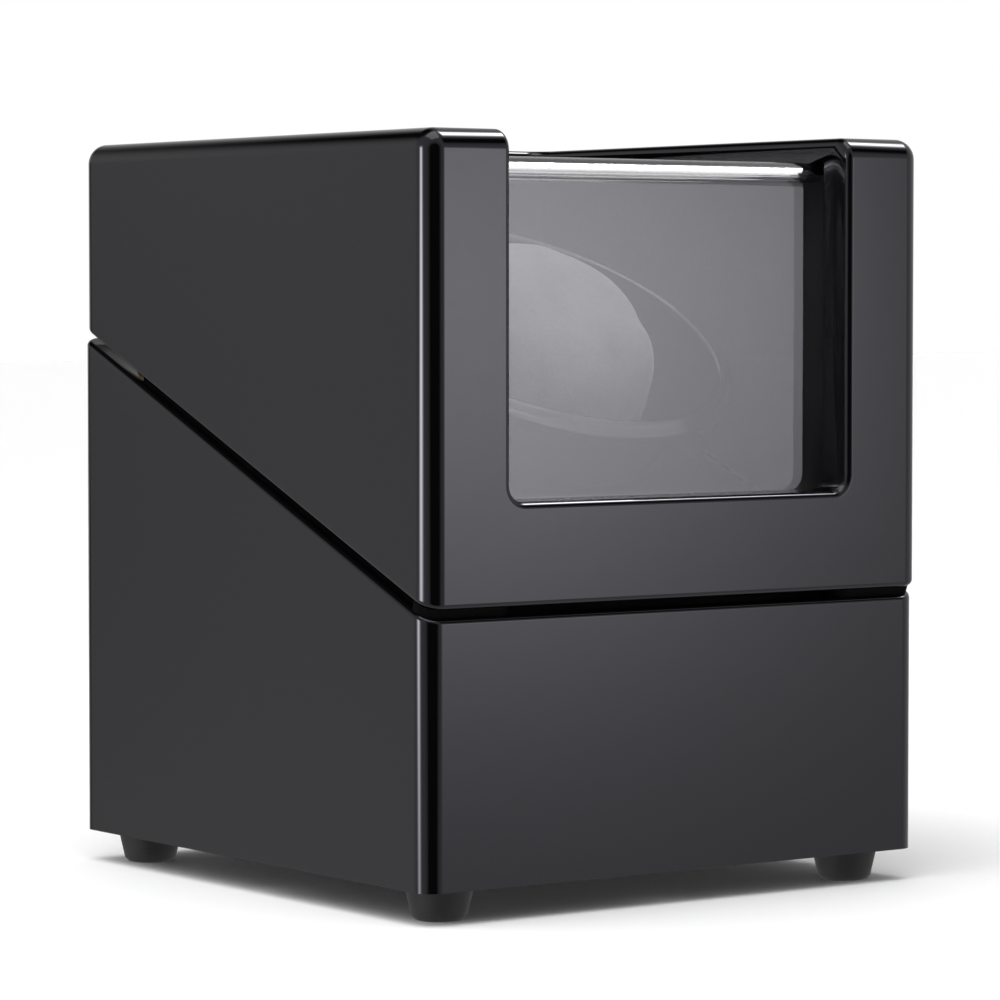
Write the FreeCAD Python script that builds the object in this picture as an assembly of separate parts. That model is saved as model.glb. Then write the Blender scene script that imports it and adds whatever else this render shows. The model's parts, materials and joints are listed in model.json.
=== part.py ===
import FreeCAD, Part
import math
import os
from FreeCAD import Placement, Rotation, Vector

# Watch winder box: a lacquered case with a hinged window lid over a slowly turning cup.
# Millimetres, +Z up, the window looks towards -Y, origin on the table under the middle of the case.

# Case and lid
WALL = 9.0
EDGE_RADIUS = 4.0
SEAM_GAP = 1.8
SEAM_EDGE_RADIUS = 1.0
LID_FORWARD = 0.8
FRONT_SHOULDER = 19.6
REAR_DROP = 1.1
SIDE_GAP = 9.0
REAR_BAY = 9.3
HEADROOM = 6.4
LID_LINING = 1.0
LINING_GAP = 2.2
LIP_THICKNESS = 1.4
LIP_FIT = 0.4
LIP_RISE = 3.2
LIP_DEPTH = 6.0

# Window
OPENING_WIDTH = 81.6
OPENING_CORNER = 3.2
OPENING_EDGE_RADIUS = 1.4
FRONT_RAIL = 19.7
REAR_BAR = 22.5
FRONT_RECESS = 7.4
TOP_RECESS = 4.7
WINDOW_THICKNESS = 2.5
WINDOW_BEND = 5.0
WINDOW_LAP = 7.5
WINDOW_GAP = 2.6
WINDOW_SIDE_FIT = 1.7

# Bottom board and feet
BOTTOM_THICKNESS = 5.0
BOTTOM_SKIRT = 3.0
BOTTOM_FIT = 0.2
BOTTOM_SCREW_INSET = 6.2
BOTTOM_SCREW_LENGTH = 11.0
FOOT_HEIGHT = 6.4
FOOT_TOP_RADIUS = 6.6
FOOT_BOTTOM_RADIUS = 5.3
FOOT_EDGE = 0.8
FOOT_INSET = 10.3
FOOT_RECESS = 3.0
FOOT_SCREW_SETBACK = 0.5
FOOT_BORE_CLEARANCE = 0.4

# Hinges
HINGE_SPACING = 64.0
HINGE_LENGTH = 24.0
BARREL_RADIUS = 2.2
BARREL_MIDDLE = 8.0
BARREL_END_GAP = 0.2
BARREL_CLEARANCE = 0.5
LEAF_WIDTH = 8.2
LEAF_THICKNESS = 0.8
HINGE_PIN_RADIUS = 1.0
RUNNING_FIT = 0.05
HINGE_SCREW_SPREAD = 15.0
HINGE_SCREW_RADIUS = 1.0
HINGE_SCREW_HEAD = 1.8
HINGE_SCREW_LENGTH = 5.4
BUMPER_RADIUS = 3.2
BUMPER_INSET = 3.7
BUMPER_LENGTH = 14.0

# Sloping deck and its cleats
DECK_TILT = 30.0
DECK_THICKNESS = 6.0
DECK_LINING = 0.8
DECK_FIT = 0.15
CLEAT_SIZE = 8.0
CLEAT_LENGTH = 80.0
DECK_SCREW_SPREAD = 62.0
DECK_SCREW_LENGTH = 11.0
SHAFT_HOLE_GAP = 2.0

# Cup and watch pillow
CUP_RADIUS = 40.0
CUP_WALL = 2.5
CUP_FLOOR = 3.0
CUP_HEIGHT = 34.2
CUP_LIFT = 2.0
CUP_FOOT_RADIUS = 2.0
RIM_HEIGHT = 4.0
RIM_OVERHANG = 1.0
HUB_RADIUS = 9.0
PAD_THICKNESS = 3.0
PAD_HOLE = 5.0
PAD_CLEARANCE = 0.5
PILLOW_LENGTH = 40.0
PILLOW_WIDTH = 45.0
PILLOW_HEIGHT = 43.5
PILLOW_SHOULDER = 9.0
PILLOW_FOOT = 6.0
PILLOW_CROWN = 2.5
PILLOW_CREST = 12.0
PILLOW_END_TAPER = 0.35
PILLOW_END_LIFT = 2.0
PILLOW_END_DROP = 5.5
PILLOW_ARCH = 1.5
PILLOW_BULGE = 1.0
PILLOW_TRAVEL = 8.0

# Spindle, bearing and chassis
SPINDLE_RADIUS = 3.0
STANDOFF_LENGTH = 12.0
STANDOFF_RADIUS = 3.5
STANDOFF_STUD = 4.0
STANDOFF_TUCK = 2.0
STANDOFF_CLEARANCE = 1.5
CHASSIS_THICKNESS = 2.0
CHASSIS_MARGIN = 3.5
HOUSING_LENGTH = 22.0
HOUSING_RADIUS = 8.0
HOUSING_FLANGE = 15.0
HOUSING_FLANGE_THICKNESS = 3.0
BUSH_RADIUS = 5.0
BUSH_LENGTH = 7.0
BUSH_FLANGE_RADIUS = 7.0
BUSH_FLANGE = 1.2
WASHER_THICKNESS = 0.5
CLIP_THICKNESS = 0.8
CLIP_RADIUS = 5.0
CLIP_DEPTH = 0.6
END_PLAY = 0.1
SPINDLE_TAIL = 2.0

# Belt drive and gear motor
BELT_RADIUS = 1.2
BELT_CLEARANCE = 0.3
MOTOR_PITCH = 4.6
PULLEY_RATIO = 4.0
MOTOR_SIDE_GAP = 3.5
PULLEY_WIDTH = 8.0
MOTOR_PULLEY_WIDTH = 5.6
FLANGE_DEPTH = 1.4
FLANGE_FLARE = 0.5
PULLEY_WEB = 1.2
PULLEY_HOLES = 6
MOTOR_SHAFT_RADIUS = 1.8
GEARBOX_RADIUS = 12.5
GEARBOX_LENGTH = 14.0
GEARBOX_BOSS = 3.5
CAN_RADIUS = 12.0
CAN_LENGTH = 20.0
CAN_EDGE_RADIUS = 1.5
CAP_STEP = 2.0
TERMINAL_WIDTH = 2.4
TERMINAL_THICKNESS = 0.6
END_CAP_LENGTH = 2.0
TERMINAL_LENGTH = 3.0
MOTOR_CLEARANCE = 8.1
MOTOR_SCREW_CIRCLE = 8.5

# Rear controls
CONTROL_X = -18.0
CONTROL_HEIGHT = 28.0
RECESS_WIDTH = 46.0
RECESS_HEIGHT = 22.0
RECESS_CORNER = 4.0
CONTROL_MARGIN = 6.0
CONTROL_THICKNESS = 2.0
BOARD_WIDTH = 44.0
BOARD_HEIGHT = 30.0
BOARD_THICKNESS = 1.6
BOARD_GAP = 8.0
BOARD_EDGE = 3.0
CONTROL_SPREAD = 24.0
SWITCH_SIZE = 12.0
SWITCH_DEPTH = 6.0
SWITCH_SHAFT = 2.0
SWITCH_BUSH = 3.5
KNOB_RADIUS = 7.0
KNOB_LENGTH = 6.6
KNOB_GAP = 0.5
KNOB_EDGE_RADIUS = 0.8
KNOB_FLUTES = 16
KNOB_FLUTE_RADIUS = 1.0
KNOB_LINE_WIDTH = 1.0
KNOB_LINE_DEPTH = 0.6
KNOB_LINE_START = 2.0
SOCKET_SIZE = 9.5
SOCKET_BARREL = 4.0
SOCKET_BORE = 2.85
SOCKET_PIN = 1.0
LAMP_RADIUS = 1.5
LAMP_RISE = 6.0
LAMP_DOME_RADIUS = 0.9
CHIP_LENGTH = 10.0
CHIP_WIDTH = 5.0
CHIP_HEIGHT = 2.0
CAPACITOR_RADIUS = 3.0
CAPACITOR_HEIGHT = 6.0
COMPONENT_STEP = 12.0
PLUG_WIDTH = 8.0
PLUG_HEIGHT = 5.0
PLUG_EDGE = 2.0

# Screws
SCREW_RADIUS = 1.4
SCREW_HEAD_RADIUS = 2.6
SCREW_HEAD = 1.8

# Worked out: heights in the deck frame, whose third axis is the cup axis and whose zero is the deck top
SIN = math.sin(math.radians(DECK_TILT))
COS = math.cos(math.radians(DECK_TILT))
DECK_TOP = -DECK_LINING
DECK_UNDER = DECK_TOP - DECK_THICKNESS
CHASSIS_TOP = DECK_UNDER - STANDOFF_LENGTH
CHASSIS_UNDER = CHASSIS_TOP - CHASSIS_THICKNESS
BELT_LEVEL = (DECK_UNDER + CHASSIS_TOP) / 2
PULLEY_TOP = BELT_LEVEL + PULLEY_WIDTH / 2
HOUSING_END = CHASSIS_TOP - HOUSING_LENGTH
LOWER_FLANGE = HOUSING_END - BUSH_FLANGE
CLIP_TOP = LOWER_FLANGE - END_PLAY
SPINDLE_END = CLIP_TOP - CLIP_THICKNESS - SPINDLE_TAIL
GEARBOX_END = CHASSIS_UNDER - GEARBOX_LENGTH
CAN_END = GEARBOX_END - CAN_LENGTH
CAP_END = CAN_END - END_CAP_LENGTH
MOTOR_END = CAP_END - TERMINAL_LENGTH
FLOOR_TOP = CUP_LIFT + CUP_FLOOR
CUP_TOP = CUP_LIFT + CUP_HEIGHT
RIM_TOP = CUP_TOP + RIM_HEIGHT
RIM_RADIUS = CUP_RADIUS + RIM_OVERHANG
PAD_TOP = FLOOR_TOP + PAD_THICKNESS
PILLOW_TOP = PAD_TOP + PILLOW_HEIGHT
DRUM_PITCH = MOTOR_PITCH * PULLEY_RATIO

# Worked out: the case around the cup and its drive
MOTOR_REAR = -MOTOR_END * SIN + CAN_RADIUS * COS
FRONT_REACH = RIM_TOP * SIN + RIM_RADIUS * COS + WINDOW_GAP + WINDOW_THICKNESS + FRONT_RECESS
REAR_REACH = MOTOR_REAR + REAR_BAY + WALL
BASE_DEPTH = FRONT_REACH - LID_FORWARD + REAR_REACH
BASE_FRONT = -BASE_DEPTH / 2
BASE_REAR = BASE_DEPTH / 2
DECK_Y = BASE_REAR - REAR_REACH
LID_FRONT = BASE_FRONT - LID_FORWARD
LID_REAR = BASE_REAR - LID_FORWARD
CASE_WIDTH = 2 * (RIM_RADIUS + SIDE_GAP + LID_LINING + WALL)
INNER_X = CASE_WIDTH / 2 - WALL
MOTOR_U = INNER_X - GEARBOX_RADIUS - MOTOR_SIDE_GAP
CASE_BOTTOM = FOOT_HEIGHT
BOARD_TOP = CASE_BOTTOM + BOTTOM_THICKNESS
DECK_Z = BOARD_TOP + MOTOR_CLEARANCE - MOTOR_END * COS + CAN_RADIUS * SIN
PILLOW_REACH = (PILLOW_TOP + PILLOW_TRAVEL) * COS + PILLOW_CREST * SIN
WINDOW_TOP = DECK_Z + PILLOW_REACH + HEADROOM + WINDOW_THICKNESS
CASE_TOP = WINDOW_TOP + TOP_RECESS
WINDOW_FRONT = LID_FRONT + FRONT_RECESS
OPENING_REAR = LID_REAR - REAR_BAR
SEAM_FRONT = DECK_Z + (BASE_FRONT - DECK_Y) * SIN / COS + FRONT_SHOULDER
SEAM_REAR = DECK_Z + (BASE_REAR - DECK_Y) * SIN / COS - REAR_DROP
SEAM_SLOPE = (SEAM_REAR - SEAM_FRONT) / BASE_DEPTH
SEAM_ANGLE = math.degrees(math.atan(SEAM_SLOPE))
SEAM_RISE = SEAM_GAP / 2 * math.sqrt(1 + SEAM_SLOPE * SEAM_SLOPE)
SILL = SEAM_FRONT + SEAM_RISE + FRONT_RAIL
HINGE_Y = BASE_REAR + LID_FORWARD - BARREL_RADIUS
HINGE_Z = SEAM_FRONT + (HINGE_Y - BASE_FRONT) * SEAM_SLOPE
LEAF_V = (BARREL_RADIUS + BARREL_CLEARANCE + LEAF_WIDTH) / 2
CONTROL_Z = CASE_BOTTOM + CONTROL_HEIGHT
WALL_INSIDE = BASE_REAR - WALL
CONTROL_FACE = WALL_INSIDE - CONTROL_THICKNESS
BOARD_FACE = CONTROL_FACE - BOARD_GAP
BOARD_BACK = BOARD_FACE - BOARD_THICKNESS

AXIS_X = Vector(1, 0, 0)
AXIS_Y = Vector(0, 1, 0)
AXIS_Z = Vector(0, 0, 1)
FAR = 400.0


def box(x0, x1, y0, y1, z0, z1):
    return Part.makeBox(x1 - x0, y1 - y0, z1 - z0, Vector(x0, y0, z0))


def rod(radius, low, high, u=0.0, v=0.0):
    return Part.makeCylinder(radius, high - low, Vector(u, v, low), AXIS_Z)


def rod_x(radius, x0, x1):
    return Part.makeCylinder(radius, x1 - x0, Vector(x0, 0, 0), AXIS_X)


def rod_y(radius, y0, y1, x, z):
    return Part.makeCylinder(radius, y1 - y0, Vector(x, y0, z), AXIS_Y)


def slab_x(outline, x0, x1):
    wire = Part.makePolygon([Vector(x0, y, z) for y, z in outline + outline[:1]])
    return Part.Face(wire).extrude(Vector(x1 - x0, 0, 0))


def turned(outline):
    wire = Part.makePolygon([Vector(r, 0, w) for r, w in outline + outline[:1]])
    return Part.Face(wire).revolve(Vector(0, 0, 0), AXIS_Z, 360)


def along(shape, axis):
    edges = []
    for edge in [e for e in shape.Edges if not e.Degenerated]:
        straight = isinstance(edge.Curve, Part.Line)
        if straight and abs(edge.tangentAt(edge.FirstParameter).dot(axis)) > 0.999:
            edges.append(edge)
    return edges


def on_deck(shape):
    shape.Placement = Placement(Vector(0, DECK_Y, DECK_Z), Rotation(AXIS_X, DECK_TILT)) * shape.Placement
    return shape


def on_seam(shape):
    shape.Placement = Placement(Vector(0, HINGE_Y, HINGE_Z), Rotation(AXIS_X, SEAM_ANGLE)) * shape.Placement
    return shape


def seam_z(y):
    return SEAM_FRONT + (y - BASE_FRONT) * SEAM_SLOPE


def pan_screw(length, tip):
    # Stands on its head's underside at zero, shank upwards, head below
    return rod(SCREW_RADIUS, 0, length - tip).fuse(rod(SCREW_HEAD_RADIUS, -SCREW_HEAD, 0))


def flat_screw(radius, head, length):
    # Countersunk, head face at zero, shank downwards
    cone = Part.makeCone(radius, head, head - radius, Vector(0, 0, radius - head), AXIS_Z)
    return cone.fuse(rod(radius, -length, radius - head)).removeSplitter()


def copies(shape, places):
    solids = []
    for place in places:
        one = shape.copy()
        one.translate(Vector(*place))
        solids.append(one)
    return solids


def turned_y(shape, x, y, z, facing):
    # Lays a piece drawn along +Z so that it points along +Y (facing 1) or -Y (facing -1)
    shape.Placement = Placement(Vector(x, y, z), Rotation(AXIS_X, -90.0 * facing)) * shape.Placement
    return shape


def rounded_plate(width, height, corner, y0, y1, x, z):
    plate = box(x - width / 2, x + width / 2, y0, y1, z - height / 2, z + height / 2)
    return plate.makeFillet(corner, along(plate, AXIS_Y))


# Places that several pieces share
FOOT_X = CASE_WIDTH / 2 - FOOT_INSET
FOOT_Y = BASE_DEPTH / 2 - FOOT_INSET
FOOT_PLACES = [(sx * FOOT_X, sy * FOOT_Y, 0) for sx in (-1, 1) for sy in (-1, 1)]
EDGE_X = CASE_WIDTH / 2 - BOTTOM_SCREW_INSET
EDGE_Y = BASE_DEPTH / 2 - BOTTOM_SCREW_INSET
BOTTOM_SCREW_PLACES = [(0, -EDGE_Y, 0), (0, EDGE_Y, 0), (-EDGE_X, 0, 0), (EDGE_X, 0, 0)]
HINGE_X = (-HINGE_SPACING / 2, HINGE_SPACING / 2)
HINGE_SCREW_X = [x + s * HINGE_SCREW_SPREAD / 2 for x in HINGE_X for s in (-1, 1)]
CLEAT_U = INNER_X - CLEAT_SIZE / 2
DECK_SCREW_PLACES = [
    (su * CLEAT_U, sv * DECK_SCREW_SPREAD / 2, DECK_TOP) for su in (-1, 1) for sv in (-1, 1)
]
DRUM_PULLEY_RADIUS = DRUM_PITCH + FLANGE_DEPTH
STANDOFF_V = DRUM_PULLEY_RADIUS + STANDOFF_RADIUS - STANDOFF_TUCK
STANDOFF_LEFT = -DRUM_PULLEY_RADIUS - STANDOFF_RADIUS + STANDOFF_TUCK / 2
STANDOFF_RIGHT = INNER_X - CLEAT_SIZE - STANDOFF_RADIUS - STANDOFF_CLEARANCE
STANDOFF_PLACES = [
    (u, sv * STANDOFF_V, 0) for u in (STANDOFF_LEFT, STANDOFF_RIGHT) for sv in (-1, 1)
]
HOUSING_SCREW_CIRCLE = (HOUSING_RADIUS + HOUSING_FLANGE) / 2
HOUSING_SCREW_PLACES = [
    (HOUSING_SCREW_CIRCLE * math.cos(math.radians(a)), HOUSING_SCREW_CIRCLE * math.sin(math.radians(a)), 0)
    for a in (90, 210, 330)
]
MOTOR_SCREW_PLACES = [(MOTOR_U, s * MOTOR_SCREW_CIRCLE, 0) for s in (-1, 1)]
PLATE_WIDTH = RECESS_WIDTH + 2 * CONTROL_MARGIN
PLATE_HEIGHT = RECESS_HEIGHT + 2 * CONTROL_MARGIN
PLATE_SCREWS = [
    (CONTROL_X + sx * (PLATE_WIDTH - CONTROL_MARGIN) / 2, CONTROL_Z + sz * (PLATE_HEIGHT - CONTROL_MARGIN) / 2)
    for sx in (-1, 1)
    for sz in (-1, 1)
]
SPACERS = [
    (CONTROL_X + sx * (BOARD_WIDTH / 2 - BOARD_EDGE), CONTROL_Z + sz * (BOARD_HEIGHT / 2 - BOARD_EDGE))
    for sx in (-1, 1)
    for sz in (-1, 1)
]
SWITCH_X = CONTROL_X - CONTROL_SPREAD / 2
SOCKET_X = CONTROL_X + CONTROL_SPREAD / 2
LAMP_Z = CONTROL_Z + LAMP_RISE


def hinge_screw(side):
    # Side -1 goes down into the base edge, side 1 up into the lid edge
    screw = flat_screw(HINGE_SCREW_RADIUS, HINGE_SCREW_HEAD, HINGE_SCREW_LENGTH)
    screw.translate(Vector(0, -LEAF_V, -SEAM_GAP / 2 + LEAF_THICKNESS))
    if side > 0:
        screw = screw.mirror(Vector(0, 0, 0), AXIS_Z)
    return screw


def hinge_screws(side):
    return Part.makeCompound([on_seam(s) for s in copies(hinge_screw(side), [(x, 0, 0) for x in HINGE_SCREW_X])])


def barrel_recess():
    half = HINGE_LENGTH / 2 + BARREL_CLEARANCE
    rods = [rod_x(BARREL_RADIUS + BARREL_CLEARANCE, x - half, x + half) for x in HINGE_X]
    return Part.makeCompound([on_seam(r) for r in rods])


def hinge_leaves(side):
    # Leaf on the base edge (side -1) carries the outer barrel pieces, leaf on the lid edge the middle one
    half = HINGE_LENGTH / 2
    middle = BARREL_MIDDLE / 2
    near = -SEAM_GAP / 2
    leaf = box(-half, half, -LEAF_WIDTH, 0, near, near + LEAF_THICKNESS)
    if side > 0:
        leaf = leaf.mirror(Vector(0, 0, 0), AXIS_Z)
        spans = [(-middle + BARREL_END_GAP, middle - BARREL_END_GAP)]
        free = [(-half - 1, -middle + BARREL_END_GAP), (middle - BARREL_END_GAP, half + 1)]
        bore = HINGE_PIN_RADIUS + RUNNING_FIT
    else:
        spans = [(-half, -middle), (middle, half)]
        free = [(-middle, middle)]
        bore = HINGE_PIN_RADIUS
    for x0, x1 in free:
        leaf = leaf.cut(rod_x(BARREL_RADIUS + BARREL_CLEARANCE, x0, x1))
    for x0, x1 in spans:
        leaf = leaf.fuse(rod_x(BARREL_RADIUS, x0, x1))
    leaf = leaf.cut(rod_x(bore, -half - 1, half + 1))
    for s in (-1, 1):
        screw = hinge_screw(side)
        screw.translate(Vector(s * HINGE_SCREW_SPREAD / 2, 0, 0))
        leaf = leaf.cut(screw)
    leaf = leaf.removeSplitter()
    return Part.makeCompound([on_seam(p) for p in copies(leaf, [(x, 0, 0) for x in HINGE_X])])


def hinge_pins():
    half = HINGE_LENGTH / 2
    return Part.makeCompound([on_seam(rod_x(HINGE_PIN_RADIUS, x - half, x + half)) for x in HINGE_X])


def base_case():
    low = -SEAM_RISE
    outline = [
        (BASE_FRONT, CASE_BOTTOM),
        (BASE_REAR, CASE_BOTTOM),
        (BASE_REAR, seam_z(BASE_REAR) + low),
        (BASE_FRONT, seam_z(BASE_FRONT) + low),
    ]
    body = slab_x(outline, -CASE_WIDTH / 2, CASE_WIDTH / 2)
    body = body.makeFillet(EDGE_RADIUS, along(body, AXIS_Z))
    top = [e for e in body.Edges if all(abs(v.Z - seam_z(v.Y) - low) < 1e-4 for v in e.Vertexes)]
    body = body.makeFillet(SEAM_EDGE_RADIUS, top)
    body = body.cut(box(-INNER_X, INNER_X, BASE_FRONT + WALL, WALL_INSIDE, CASE_BOTTOM - 1, FAR))
    skirt_x = CASE_WIDTH / 2 - BOTTOM_SKIRT
    skirt_y = BASE_DEPTH / 2 - BOTTOM_SKIRT
    body = body.cut(box(-skirt_x, skirt_x, -skirt_y, skirt_y, CASE_BOTTOM - 1, BOARD_TOP))
    body = body.cut(rounded_plate(
        RECESS_WIDTH, RECESS_HEIGHT, RECESS_CORNER, WALL_INSIDE - 1, BASE_REAR + 1, CONTROL_X, CONTROL_Z))
    body = body.cut(barrel_recess())
    body = body.cut(hinge_screws(-1))
    body = body.cut(bottom_screws())
    return body.cut(control_plate_screws())


def bottom_board():
    x = CASE_WIDTH / 2 - BOTTOM_SKIRT - BOTTOM_FIT
    y = BASE_DEPTH / 2 - BOTTOM_SKIRT - BOTTOM_FIT
    board = box(-x, x, -y, y, CASE_BOTTOM, BOARD_TOP)
    board = board.cut(bottom_screws())
    return board.cut(foot_screws())


def bottom_screws():
    screw = flat_screw(SCREW_RADIUS, SCREW_HEAD_RADIUS, BOTTOM_SCREW_LENGTH)
    screw = screw.mirror(Vector(0, 0, 0), AXIS_Z)
    screw.translate(Vector(0, 0, CASE_BOTTOM))
    return Part.makeCompound(copies(screw, BOTTOM_SCREW_PLACES))


def foot_screws():
    screw = pan_screw(FOOT_HEIGHT - FOOT_RECESS + BOTTOM_THICKNESS, FOOT_SCREW_SETBACK)
    screw.translate(Vector(0, 0, FOOT_RECESS))
    return Part.makeCompound(copies(screw, FOOT_PLACES))


def rubber_feet():
    bore = SCREW_HEAD_RADIUS + FOOT_BORE_CLEARANCE
    foot = turned([
        (SCREW_RADIUS, FOOT_RECESS),
        (bore, FOOT_RECESS),
        (bore, 0),
        (FOOT_BOTTOM_RADIUS - FOOT_EDGE, 0),
        (FOOT_BOTTOM_RADIUS, FOOT_EDGE),
        (FOOT_TOP_RADIUS, FOOT_HEIGHT),
        (SCREW_RADIUS, FOOT_HEIGHT),
    ])
    return Part.makeCompound(copies(foot, FOOT_PLACES))


def opening_cutter():
    x = OPENING_WIDTH / 2
    cutter = box(-x, x, LID_FRONT - WALL, OPENING_REAR, SILL, CASE_TOP + WALL)
    sill = [e for e in along(cutter, AXIS_Y) if e.CenterOfMass.z < SILL + 1]
    cutter = cutter.makeFillet(OPENING_CORNER, sill)
    rear = [e for e in along(cutter, AXIS_Z) if e.CenterOfMass.y > OPENING_REAR - 1]
    return cutter.makeFillet(OPENING_CORNER, rear)


def lid_case():
    outline = [
        (LID_FRONT, seam_z(LID_FRONT) + SEAM_RISE),
        (LID_REAR, seam_z(LID_REAR) + SEAM_RISE),
        (LID_REAR, CASE_TOP),
        (LID_FRONT, CASE_TOP),
    ]
    body = slab_x(outline, -CASE_WIDTH / 2, CASE_WIDTH / 2)
    crown = [e for e in body.Edges if all(abs(v.Z - CASE_TOP) < 1e-6 for v in e.Vertexes)]
    body = body.makeFillet(EDGE_RADIUS, along(body, AXIS_Z) + crown)
    seam = [e for e in body.Edges if all(abs(v.Z - seam_z(v.Y) - SEAM_RISE) < 1e-4 for v in e.Vertexes)]
    body = body.makeFillet(SEAM_EDGE_RADIUS, seam)
    body = body.cut(opening_cutter())
    rail = [e for e in along(body, AXIS_Y)
            if abs(abs(e.CenterOfMass.x) - OPENING_WIDTH / 2) < 1e-4 and abs(e.CenterOfMass.z - CASE_TOP) < 1e-4]
    body = body.makeFillet(OPENING_EDGE_RADIUS, rail)
    body = body.cut(box(-INNER_X, INNER_X, WINDOW_FRONT, LID_REAR - WALL, 0, WINDOW_TOP))
    body = body.cut(barrel_recess())
    return body.cut(hinge_screws(1))


def window_pane():
    low = SILL - WINDOW_LAP
    rear = OPENING_REAR + WINDOW_LAP
    inner_y = WINDOW_FRONT + WINDOW_THICKNESS
    inner_z = WINDOW_TOP - WINDOW_THICKNESS
    x = INNER_X - LID_LINING - WINDOW_SIDE_FIT
    outline = [
        (WINDOW_FRONT, low),
        (inner_y, low),
        (inner_y, inner_z),
        (rear, inner_z),
        (rear, WINDOW_TOP),
        (WINDOW_FRONT, WINDOW_TOP),
    ]
    pane = slab_x(outline, -x, x)
    edges = along(pane, AXIS_X)
    outer = [e for e in edges if e.CenterOfMass.y < WINDOW_FRONT + 1e-4 and e.CenterOfMass.z > WINDOW_TOP - 1e-4]
    pane = pane.makeFillet(WINDOW_BEND, outer)
    edges = along(pane, AXIS_X)
    inner = [e for e in edges
             if abs(e.CenterOfMass.y - inner_y) < 1e-4 and abs(e.CenterOfMass.z - inner_z) < 1e-4]
    return pane.makeFillet(WINDOW_BEND - WINDOW_THICKNESS, inner)


def lining_outline(front, rear):
    return [
        (front, seam_z(front) + SEAM_RISE + LINING_GAP),
        (rear, seam_z(rear) + SEAM_RISE + LINING_GAP),
        (rear, WINDOW_TOP),
        (front, WINDOW_TOP),
    ]


def lid_side_linings():
    outline = lining_outline(WINDOW_FRONT, LID_REAR - WALL)
    left = slab_x(outline, -INNER_X, -INNER_X + LID_LINING)
    right = slab_x(outline, INNER_X - LID_LINING, INNER_X)
    return Part.makeCompound([left, right])


def lid_rear_lining():
    rear = LID_REAR - WALL
    x = INNER_X - LID_LINING
    return slab_x(lining_outline(rear - LID_LINING, rear), -x, x)


def lid_bumpers():
    # Two soft strips with round ends, laid along the front wall into its corners
    v = (BASE_FRONT + BUMPER_INSET - HINGE_Y) / math.cos(math.radians(SEAM_ANGLE))
    low = -SEAM_GAP / 2
    high = SEAM_GAP / 2
    strips = []
    for side in (-1, 1):
        outer = side * (CASE_WIDTH / 2 - BUMPER_INSET)
        inner = outer - side * BUMPER_LENGTH
        strip = box(min(inner, outer), max(inner, outer), v - BUMPER_RADIUS, v + BUMPER_RADIUS, low, high)
        strip = strip.fuse([rod(BUMPER_RADIUS, low, high, x, v) for x in (inner, outer)]).removeSplitter()
        strips.append(on_seam(strip))
    return Part.makeCompound(strips)


def deck_bay(low, high):
    # Slab across the base between two heights of the deck frame
    slab = on_deck(box(-INNER_X + DECK_FIT, INNER_X - DECK_FIT, -FAR / 2, FAR / 2, low, high))
    bay = box(-INNER_X, INNER_X, BASE_FRONT + WALL + DECK_FIT, WALL_INSIDE - LID_FORWARD - DECK_FIT, 0, FAR)
    hole = on_deck(rod(HUB_RADIUS + SHAFT_HOLE_GAP, low - 1, high + 1))
    return slab.common(bay).cut(hole)


def deck_board():
    board = deck_bay(DECK_UNDER, DECK_TOP)
    board = board.cut(deck_screws())
    studs = [rod(SCREW_RADIUS, DECK_UNDER, DECK_UNDER + STANDOFF_STUD, u, v) for u, v, w in STANDOFF_PLACES]
    return board.cut(Part.makeCompound([on_deck(s) for s in studs]))


def deck_lining():
    return deck_bay(DECK_TOP, 0)


def seam_lip():
    # Thin board along the front and side walls that stands above the base edge and closes the seam to light
    low = -SEAM_RISE - LIP_DEPTH
    high = -SEAM_RISE + LIP_RISE
    front = BASE_FRONT + WALL + LIP_FIT
    rear = WALL_INSIDE - LID_FORWARD - LID_LINING - LIP_FIT
    x = INNER_X - LIP_FIT
    outline = [
        (front, seam_z(front) + low),
        (rear, seam_z(rear) + low),
        (rear, seam_z(rear) + high),
        (front, seam_z(front) + high),
    ]
    lip = slab_x(outline, -x, x)
    lip = lip.cut(box(-x + LIP_THICKNESS, x - LIP_THICKNESS, front + LIP_THICKNESS, FAR, 0, FAR))
    return lip.cut(on_deck(box(-FAR, FAR, -FAR, FAR, -FAR, DECK_FIT)))


def deck_screws():
    screw = flat_screw(SCREW_RADIUS, SCREW_HEAD_RADIUS, DECK_SCREW_LENGTH)
    return Part.makeCompound([on_deck(s) for s in copies(screw, DECK_SCREW_PLACES)])


def deck_cleats():
    cleats = []
    for side in (-1, 1):
        u0 = min(side * INNER_X, side * (INNER_X - CLEAT_SIZE))
        bar = box(u0, u0 + CLEAT_SIZE, -CLEAT_LENGTH / 2, CLEAT_LENGTH / 2, DECK_UNDER - CLEAT_SIZE, DECK_UNDER)
        cleats.append(on_deck(bar).cut(deck_screws()))
    return Part.makeCompound(cleats)


def drum_cup():
    bowl = rod(CUP_RADIUS, CUP_LIFT, CUP_TOP).cut(rod(CUP_RADIUS - CUP_WALL, FLOOR_TOP, CUP_TOP + 1))
    foot = [e for e in bowl.Edges if abs(e.CenterOfMass.z - CUP_LIFT) < 1e-6]
    bowl = bowl.makeFillet(CUP_FOOT_RADIUS, foot)
    bowl = bowl.fuse(rod(HUB_RADIUS, PULLEY_TOP, FLOOR_TOP)).removeSplitter()
    bowl = bowl.cut(rod(SPINDLE_RADIUS, PULLEY_TOP - 1, CUP_LIFT))
    return on_deck(bowl.cut(rod(SCREW_RADIUS, CUP_LIFT - 1, FLOOR_TOP + 1)))


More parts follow.
